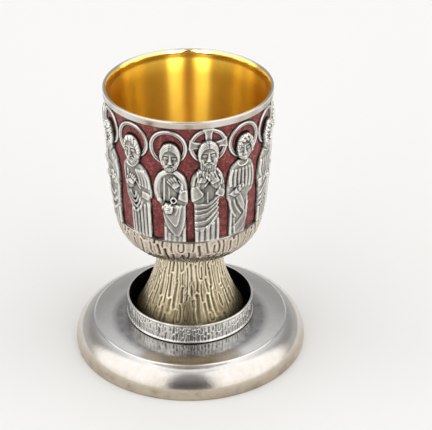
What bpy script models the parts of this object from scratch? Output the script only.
"""Silver chalice with a band of thirteen haloed figures, standing on its upturned dish.

Five separate pieces: a gilt cup in a cast casing, a hollow flared foot, and a dish with an
upright collar that the foot stands in. All lengths are metres, +Z is up, and the origin is
the middle of the dish's underside.
"""
import math

import bmesh
import bpy
from mathutils import Vector

MM = 0.001
GAP = 0.3 * MM                    # clearance between pieces that touch

# dish and collar
DISH_RADIUS = 65.8 * MM           # widest point of the rolled rim
DISH_EDGE = 64.6 * MM             # where the rim meets the table
DISH_TOP = 17.5 * MM              # height of the flat the chalice stands on
DISH_FLAT = 41.4 * MM             # radius where the level middle starts to fall away
DISH_SHOULDER = Vector((54.8 * MM, 16.4 * MM))    # edge of the gently domed disc
DISH_WALL = 1.2 * MM
RIM_CENTRE = Vector((51.7 * MM, 3.0 * MM))        # the rim rolls down round this point
RIM_HEIGHT = 13.6 * MM            # upright half-axis of the rim's ellipse
RIM_START = 76.0                  # angle at which the rim leaves the disc
COLLAR_RADIUS = 35.9 * MM
COLLAR_WALL = 1.3 * MM
COLLAR_HEIGHT = 11.7 * MM

# foot
FOOT_BASE = DISH_TOP + GAP
FOOT_TOP = 61.9 * MM
FOOT_BAND_TOP = 22.3 * MM         # the flare ends in a short upright band
FOOT_RADIUS = 30.6 * MM
NECK_RADIUS = 17.8 * MM
FOOT_FLARE = 1.8                  # exponent of the flare
FOOT_WALL = 1.2 * MM

# cup and casing
LIP_TOP = 161.1 * MM
LIP_RADIUS = 46.0 * MM
LIP_BAND = 3.8 * MM               # height of the plain band under the lip
LIP_WALL = 1.3 * MM
WALL_TOP = 156.0 * MM             # the figures' wall, between the lip band and the ledge
LEDGE = 87.3 * MM
WALL_TOP_RADIUS = 45.6 * MM       # measured over the figures
WALL_TAPER = 4.0 * MM
RELIEF = 1.5 * MM                 # depth of the enamelled ground behind the figures
LEDGE_HEIGHT = 1.0 * MM
BOWL_TOP_RADIUS = 40.8 * MM       # the plain bowl under the ledge
BOWL_DEPTH = 25.5 * MM
BOWL_POWER = 2.3                  # 2 would be an ellipse
CASING_WALL = 1.0 * MM
LINER_WALL = 0.7 * MM

# figures
FIGURES = 13
FIRST_ANGLE = math.radians(-90.0 + 14.4)      # the figure with the cross in its halo
FIGURE_PITCH = 2.0 * math.pi / FIGURES
WRAP_RADIUS = 44.0 * MM           # flat widths are laid round the cup at this radius
HALO_CENTRE = 145.0 * MM
HALO_RADIUS = 9.6 * MM            # middle of the halo's ring
HALO_RING = 0.85 * MM             # half the ring's width
HALO_CREST = 1.1 * MM
HEAD_SIZE = Vector((5.5 * MM, 8.3 * MM, 1.5 * MM))
HEAD_CENTRE = 140.0 * MM
SHOULDER = 131.5 * MM
ELBOW = 116.0 * MM
WAIST = 106.0 * MM
HEM = 87.6 * MM
HEM_HALF, WAIST_HALF, ELBOW_HALF = 6.8 * MM, 7.2 * MM, 9.6 * MM
SHOULDER_HALF, NECK_HALF = 7.2 * MM, 3.0 * MM
ROBE_DEPTH = 0.95 * MM
FOLD_DEPTH = 0.3 * MM
ARM_DEPTH = 0.35 * MM             # forearms folded before the chest
EMBED = 0.5 * MM                  # how far a figure's back is sunk in the casing

CASING_SIDES = 3 * FIGURES
SIDES = 28


# ---------------------------------------------------------------- scene and materials

def clear_scene():
    for thing in list(bpy.data.objects):
        bpy.data.objects.remove(thing, do_unlink=True)


def new_collection(name):
    collection = bpy.data.collections.new(name)
    bpy.context.scene.collection.children.link(collection)
    return collection


def linear(channel):
    return channel / 12.92 if channel <= 0.04045 else ((channel + 0.055) / 1.055) ** 2.4


def metal(name, hex_colour, roughness):
    material = bpy.data.materials.new(name)
    material.use_nodes = True
    shader = material.node_tree.nodes["Principled BSDF"]
    channels = [int(hex_colour[i:i + 2], 16) / 255.0 for i in (0, 2, 4)]
    shader.inputs["Base Color"].default_value = [linear(c) for c in channels] + [1.0]
    shader.inputs["Roughness"].default_value = roughness
    shader.inputs["Metallic"].default_value = 1.0
    return material


# ---------------------------------------------------------------- turned pieces

def turned(name, outline, collection, material, sides=SIDES, closed=False):
    """Turn an outline of (radius, height) points about Z; it runs down the outer side."""
    mesh = bpy.data.meshes.new(name)
    count = len(outline)
    edges = [(i, i + 1) for i in range(count - 1)]
    if closed:
        edges.append((count - 1, 0))
    mesh.from_pydata([(r, 0.0, z) for r, z in outline], edges, [])
    piece = bpy.data.objects.new(name, mesh)
    collection.objects.link(piece)
    screw = piece.modifiers.new("turn", 'SCREW')
    screw.steps = screw.render_steps = sides
    screw.use_merge_vertices = True
    screw.merge_threshold = 0.01 * MM
    screw.use_smooth_shade = True
    mesh.materials.append(material)
    return piece


def inset(outline, distance):
    """The outline moved inwards by a wall's thickness; ends on the axis stay on it."""
    moved = []
    last = len(outline) - 1
    for i, point in enumerate(outline):
        before = outline[max(i - 1, 0)]
        after = outline[min(i + 1, last)]
        sides = []
        for start, end in ((before, point), (point, after)):
            run = Vector(end) - Vector(start)
            if run.length > 0.0:
                sides.append(Vector((run.y, -run.x)).normalized())
        normal = sum(sides, Vector((0.0, 0.0))).normalized()
        stretch = distance / max(normal.dot(sides[0]), 0.5)
        moved.append(Vector(point) + normal * stretch)
    for end in (0, last):
        if outline[end][0] == 0.0:
            moved[end].x = 0.0
    return moved


def arc(centre, semi_axes, start, end, steps):
    """Points on an ellipse's arc; angles are from +radius towards +height."""
    points = []
    for i in range(steps + 1):
        angle = math.radians(start + (end - start) * i / steps)
        points.append(Vector((centre[0] + semi_axes[0] * math.cos(angle),
                              centre[1] + semi_axes[1] * math.sin(angle))))
    return points


def dish_outline():
    """A level middle, a gently domed disc round it and a rim that rolls down to the table."""
    fall = DISH_TOP - DISH_SHOULDER.y
    reach = DISH_SHOULDER.x - DISH_FLAT
    bend = 2.0 * math.atan2(fall, reach)
    radius = reach / math.sin(bend)
    disc = arc((DISH_FLAT, DISH_TOP - radius), (radius, radius),
               90.0, 90.0 - math.degrees(bend), 2)
    rim = arc(RIM_CENTRE, (DISH_RADIUS - RIM_CENTRE.x, RIM_HEIGHT), RIM_START, 0.0, 5)
    return [Vector((0.0, DISH_TOP))] + disc + rim + [Vector((DISH_EDGE, 0.0))]


def make_dish(collection, material):
    outer = dish_outline()
    inner = inset(outer, DISH_WALL)
    inner[-1] = Vector((DISH_EDGE - 1.5 * DISH_WALL, 0.0))
    return turned("dish", outer + inner[::-1], collection, material)


def make_collar(collection, material):
    """A plain upright ring with a small bead at its base and a rounded top edge."""
    base = DISH_TOP + GAP
    top = base + COLLAR_HEIGHT
    bead = 0.8 * MM
    half_wall = 0.5 * COLLAR_WALL
    edge = arc((COLLAR_RADIUS - half_wall, top - half_wall), (half_wall, half_wall), 180.0, 0.0, 3)
    outline = edge + [Vector((COLLAR_RADIUS, base + 1.5 * bead)),
                      Vector((COLLAR_RADIUS + 0.6 * bead, base + bead)),
                      Vector((COLLAR_RADIUS + 0.6 * bead, base)),
                      Vector((COLLAR_RADIUS - COLLAR_WALL, base))]
    return turned("collar", outline, collection, material, closed=True)


def foot_radius(height):
    drop = (FOOT_TOP - height) / (FOOT_TOP - FOOT_BAND_TOP)
    return NECK_RADIUS + (FOOT_RADIUS - NECK_RADIUS) * min(drop, 1.0) ** FOOT_FLARE


def make_foot(collection, material):
    """A trumpet-shaped shell, closed on top where the cup is fixed and open below."""
    steps = 5
    heights = [FOOT_TOP + (FOOT_BAND_TOP - FOOT_TOP) * i / steps for i in range(steps + 1)]
    outer = [Vector((0.0, FOOT_TOP))] + [Vector((foot_radius(h), h)) for h in heights]
    outer.append(Vector((FOOT_RADIUS, FOOT_BASE)))
    inner = inset(outer, FOOT_WALL)
    inner[-1].y = FOOT_BASE
    return turned("foot", outer + inner[::-1], collection, material)


# ---------------------------------------------------------------- cup and casing

def wall_radius(height):
    """Radius over the figures, which narrows faster towards the ledge."""
    down = (WALL_TOP - height) / (WALL_TOP - LEDGE)
    return WALL_TOP_RADIUS - WALL_TAPER * max(down, 0.0) ** 1.5


def ground_radius(height):
    return wall_radius(height) - RELIEF


def bowl_outline(steps):
    """The plain bowl, from under the ledge down to the flat that the foot is fixed to."""
    top = LEDGE - LEDGE_HEIGHT
    last = math.asin((1.0 - (NECK_RADIUS / BOWL_TOP_RADIUS) ** BOWL_POWER) ** 0.5)
    points = []
    for i in range(steps + 1):
        angle = last * i / steps
        points.append(Vector((BOWL_TOP_RADIUS * math.cos(angle) ** (2.0 / BOWL_POWER),
                              top - BOWL_DEPTH * math.sin(angle) ** (2.0 / BOWL_POWER))))
    return points


def wall_outline(steps):
    heights = [WALL_TOP + (LEDGE - WALL_TOP) * i / steps for i in range(steps + 1)]
    return [Vector((ground_radius(h), h)) for h in heights]


def casing_outline():
    band_base = LIP_TOP - LIP_BAND
    bevel = 0.5 * MM
    lip = [Vector((LIP_RADIUS - bevel, LIP_TOP)), Vector((LIP_RADIUS, LIP_TOP - bevel)),
           Vector((LIP_RADIUS, band_base))]
    ledge_base = Vector((wall_radius(LEDGE), LEDGE - LEDGE_HEIGHT))
    ledge = [Vector((wall_radius(LEDGE), LEDGE)), ledge_base]
    bowl = bowl_outline(4)
    floor = Vector((0.0, bowl[-1].y))
    return lip + wall_outline(2) + ledge + bowl + [floor]


def cavity_outline():
    """Inside face of the casing, from the lip down to the middle of its floor."""
    wall = wall_outline(2)
    bowl = bowl_outline(3)
    body = inset(wall[:-1] + bowl + [Vector((0.0, bowl[-1].y))], CASING_WALL)
    lip = LIP_RADIUS - LIP_WALL
    flare_base = LIP_TOP - 0.6 * LIP_BAND
    return [Vector((lip, LIP_TOP)), Vector((lip, flare_base))] + body


def make_casing(collection, cutters, material):
    outline = cavity_outline()[::-1] + casing_outline()
    casing = turned("relief_casing", outline, collection, material, CASING_SIDES)
    union = casing.modifiers.new("figures", 'BOOLEAN')
    union.operation = 'UNION'
    union.solver = 'EXACT'
    union.operand_type = 'COLLECTION'
    union.collection = cutters
    return casing


def make_liner(collection, material):
    """The gilt cup: the casing's cavity less a clearance, with a thin wall of its own."""
    outer = inset(cavity_outline(), GAP)
    outer[0].y = LIP_TOP - GAP
    inner = inset(outer, LINER_WALL)
    inner[0].y = LIP_TOP - GAP
    return turned("gilt_cup", inner[::-1] + outer, collection, material)


# ---------------------------------------------------------------- figures

def robe_half_width(height):
    """Half the robe's width: it swells at the elbows and draws in at the shoulders."""
    stations = ((HEM, HEM_HALF), (WAIST, WAIST_HALF), (ELBOW, ELBOW_HALF),
                (SHOULDER - 4.0 * MM, SHOULDER_HALF), (SHOULDER, NECK_HALF))
    for (low, low_half), (high, high_half) in zip(stations, stations[1:]):
        if height <= high:
            share = (height - low) / (high - low)
            return low_half + (high_half - low_half) * share
    return NECK_HALF


def robe_depth(across, height, sway):
    """Relief of the robe: upright folds below the waist, arms and slanting folds above it."""
    edge = 1.0 - 0.4 * abs(across) ** 4
    if height < WAIST:
        return (ROBE_DEPTH + FOLD_DEPTH * math.cos(across * 2.0 * math.pi)) * edge
    slant = (height - WAIST) / (SHOULDER - WAIST)
    fold = FOLD_DEPTH * math.cos((across * 2.0 + sway * slant) * math.pi)
    arms = ARM_DEPTH * math.exp(-((height - ELBOW) / (4.0 * MM)) ** 2)
    return (ROBE_DEPTH + fold + arms) * edge


def add_robe(mesh, sway):
    columns, rows = 4, 5
    made = bmesh.ops.create_grid(mesh, x_segments=columns, y_segments=rows, size=1.0)
    front = made["verts"]
    faces = list({face for vert in front for face in vert.link_faces})
    for vert in front:
        height = HEM + (SHOULDER - HEM) * (vert.co.y + 1.0) / 2.0
        across = vert.co.x
        vert.co = Vector((across * robe_half_width(height), height,
                          robe_depth(across, height, sway)))
    backing = bmesh.ops.extrude_face_region(mesh, geom=faces)["geom"]
    for vert in (item for item in backing if isinstance(item, bmesh.types.BMVert)):
        vert.co.z = -EMBED
    bmesh.ops.reverse_faces(mesh, faces=[f for f in mesh.faces])


def add_ball(mesh, centre, size, sides, rings):
    ball = bmesh.ops.create_uvsphere(mesh, u_segments=sides, v_segments=rings, radius=1.0)["verts"]
    for vert in ball:
        vert.co = Vector((vert.co[i] * size[i] + centre[i] for i in range(3)))


def figure_mesh(name, fill, angle):
    """One closed form, shaped flat by fill(mesh) and then laid round the cup at an angle."""
    mesh = bmesh.new()
    fill(mesh)
    bmesh.ops.recalc_face_normals(mesh, faces=mesh.faces)
    for vert in mesh.verts:
        turn = angle + vert.co.x / WRAP_RADIUS
        radius = ground_radius(vert.co.y) + vert.co.z
        vert.co = Vector((radius * math.cos(turn), radius * math.sin(turn), vert.co.y))
    data = bpy.data.meshes.new(name)
    mesh.to_mesh(data)
    mesh.free()
    return data


def add_halo(mesh):
    """A ridged ring that lies on the ground behind the head."""
    section = [mesh.verts.new((radius, HALO_CENTRE, depth)) for radius, depth in
               ((HALO_RADIUS + HALO_RING, -EMBED), (HALO_RADIUS, HALO_CREST),
                (HALO_RADIUS - HALO_RING, -EMBED))]
    edges = [mesh.edges.new((section[i - 1], section[i])) for i in range(3)]
    bmesh.ops.spin(mesh, geom=section + edges, cent=(0.0, HALO_CENTRE, 0.0),
                   axis=(0.0, 0.0, 1.0), angle=2.0 * math.pi, steps=12, use_merge=True)


def make_figures(cutters):
    """Halo, head and robe of each figure, all joined to the casing."""
    for number in range(FIGURES):
        angle = FIRST_ANGLE + number * FIGURE_PITCH
        sway = 1.0 if number % 2 else -1.0

        def head(mesh):
            add_ball(mesh, (0.0, HEAD_CENTRE, 0.0), HEAD_SIZE, 8, 4)

        def robe(mesh):
            add_robe(mesh, sway)

        for part, fill in (("halo", add_halo), ("head", head), ("robe", robe)):
            name = f"{part}_{number + 1}"
            item = bpy.data.objects.new(name, figure_mesh(name, fill, angle))
            cutters.objects.link(item)
            item.hide_render = True
            item.display_type = 'WIRE'


def main():
    clear_scene()
    parts = new_collection("chalice")
    cutters = new_collection("figure_forms")
    gilt = metal("gilt_silver", "E0AC3C", 0.18)
    silver = metal("oxidised_silver", "A39A92", 0.38)
    alloy = metal("nickel_silver", "A39878", 0.35)
    polished = metal("polished_silver", "C4C0BA", 0.15)
    make_figures(cutters)
    make_casing(parts, cutters, silver)
    make_liner(parts, gilt)
    make_foot(parts, alloy)
    make_collar(parts, silver)
    make_dish(parts, polished)


main()
